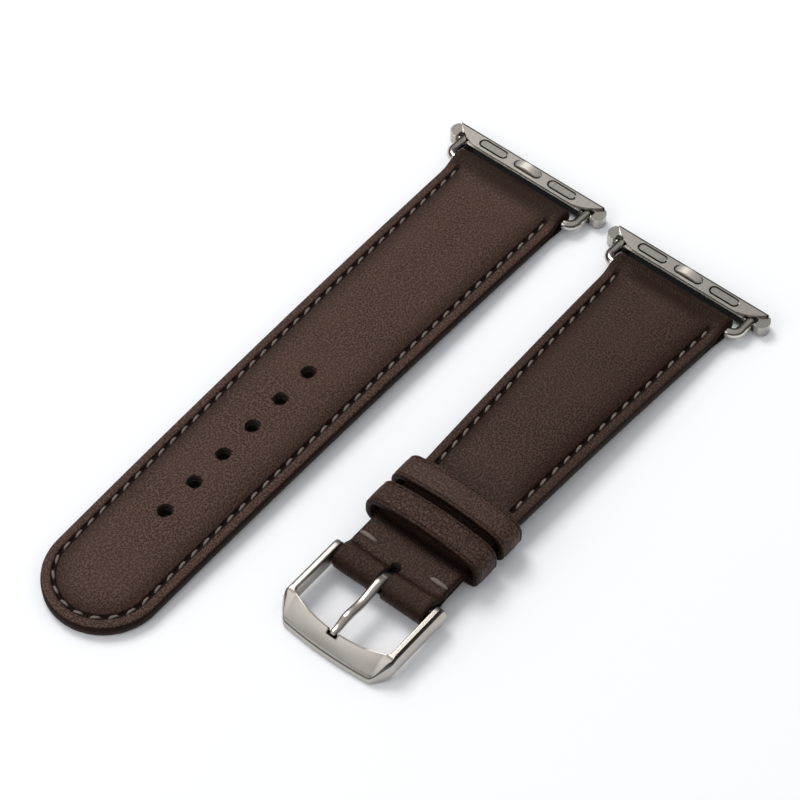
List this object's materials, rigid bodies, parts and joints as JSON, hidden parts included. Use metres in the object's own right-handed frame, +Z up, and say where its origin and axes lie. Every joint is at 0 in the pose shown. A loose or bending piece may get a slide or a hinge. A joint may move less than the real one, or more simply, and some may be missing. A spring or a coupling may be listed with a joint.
{
  "type": "leather watch strap",
  "caption": "Two-piece padded leather strap with a pin buckle, two keepers and sprung metal connectors that slide into a smartwatch case.",
  "frame": {"origin": "middle of the footprint of both halves, on the table", "axes": "+Z up from the table, +Y along the halves towards the case connectors, +X from the tail half to the buckle half"},
  "size_m": [0.0678, 0.1193, 0.0081],
  "materials": {
    "outer_leather": "dark brown, fine pebbled grain, matte",
    "lining_leather": "dark reddish brown, smooth, matte",
    "padding": "felt filler",
    "thread": "waxed taupe thread",
    "buckle_steel": "warm grey, fine brushed, polished arms",
    "connector_steel": "warm grey, satin",
    "polished_steel": "polished",
    "spring_steel": "bright wire"
  },
  "bodies": {
    "tail_strap": {"tail_half_outer_leather": "outer_leather", "tail_half_padding": "padding", "tail_half_lining": "lining_leather", "tail_half_stitching": "thread"},
    "buckle_strap": {"buckle_half_outer_leather": "outer_leather", "buckle_half_padding": "padding", "buckle_half_lining": "lining_leather", "buckle_half_stitching": "thread", "fixed_keeper": "outer_leather"},
    "free_keeper": {"free_keeper": "outer_leather"},
    "buckle": {"buckle_frame": "buckle_steel", "spring_bar_tube": "polished_steel", "spring_bar_spring": "spring_steel"},
    "tongue": {"buckle_tongue": "buckle_steel"},
    "tip_left": {"spring_bar_tip_left": "polished_steel"},
    "tip_right": {"spring_bar_tip_right": "polished_steel"},
    "tail_ring": {"tail_half_ring": "polished_steel"},
    "tail_connector": {"tail_half_connector_body": "connector_steel", "tail_half_connector_deck": "connector_steel", "tail_half_connector_pads": "connector_steel", "tail_half_ring_pins": "polished_steel", "tail_half_latch_springs": "spring_steel"},
    "tail_latch": {"tail_half_latch_button": "polished_steel"},
    "buckle_ring": {"buckle_half_ring": "polished_steel"},
    "buckle_connector": {"buckle_half_connector_body": "connector_steel", "buckle_half_connector_deck": "connector_steel", "buckle_half_connector_pads": "connector_steel", "buckle_half_ring_pins": "polished_steel", "buckle_half_latch_springs": "spring_steel"},
    "buckle_latch": {"buckle_half_latch_button": "polished_steel"}
  },
  "joints": [
    {"name": "buckle_half_beside_tail_half", "type": "slide", "parent": "tail_strap", "child": "buckle_strap", "axis": [1, 0, 0], "range_m": [0, 0.03]},
    {"name": "free_keeper_slide", "type": "slide", "parent": "buckle_strap", "child": "free_keeper", "axis": [0, 1, 0], "range_m": [-0.0012, 0.012]},
    {"name": "buckle_swing", "type": "hinge", "parent": "buckle_strap", "child": "buckle", "pos_m": [0.0175, -0.02395, 0.003], "axis": [1, 0, 0], "range_deg": [-30, 75]},
    {"name": "tongue_swing", "type": "hinge", "parent": "buckle", "child": "tongue", "pos_m": [0.0175, -0.02395, 0.003], "axis": [1, 0, 0], "range_deg": [-80, 0]},
    {"name": "spring_bar_left_press", "type": "slide", "parent": "buckle", "child": "tip_left", "axis": [1, 0, 0], "range_m": [0, 0.0009], "stiffness_N_per_m": 400, "springref_m": -0.001},
    {"name": "spring_bar_right_press", "type": "slide", "parent": "buckle", "child": "tip_right", "axis": [-1, 0, 0], "range_m": [0, 0.0009], "stiffness_N_per_m": 400, "springref_m": -0.001},
    {"name": "tail_leather_on_ring", "type": "hinge", "parent": "tail_strap", "child": "tail_ring", "pos_m": [-0.0175, 0.05285, 0.0019], "axis": [1, 0, 0], "range_deg": [-75, 75]},
    {"name": "tail_ring_in_connector", "type": "hinge", "parent": "tail_ring", "child": "tail_connector", "pos_m": [-0.0175, 0.05725, 0.0015], "axis": [1, 0, 0], "range_deg": [-20, 9]},
    {"name": "tail_latch_press", "type": "slide", "parent": "tail_connector", "child": "tail_latch", "axis": [0, 0, -1], "range_m": [0, 0.0005], "stiffness_N_per_m": 600, "springref_m": -0.001, "deforming": ["tail_half_latch_springs"]},
    {"name": "buckle_leather_on_ring", "type": "hinge", "parent": "buckle_strap", "child": "buckle_ring", "pos_m": [0.0175, 0.05135, 0.0019], "axis": [1, 0, 0], "range_deg": [-75, 75]},
    {"name": "buckle_ring_in_connector", "type": "hinge", "parent": "buckle_ring", "child": "buckle_connector", "pos_m": [0.0175, 0.05575, 0.0015], "axis": [1, 0, 0], "range_deg": [-20, 9]},
    {"name": "buckle_latch_press", "type": "slide", "parent": "buckle_connector", "child": "buckle_latch", "axis": [0, 0, -1], "range_m": [0, 0.0005], "stiffness_N_per_m": 600, "springref_m": -0.001, "deforming": ["buckle_half_latch_springs"]}
  ]
}
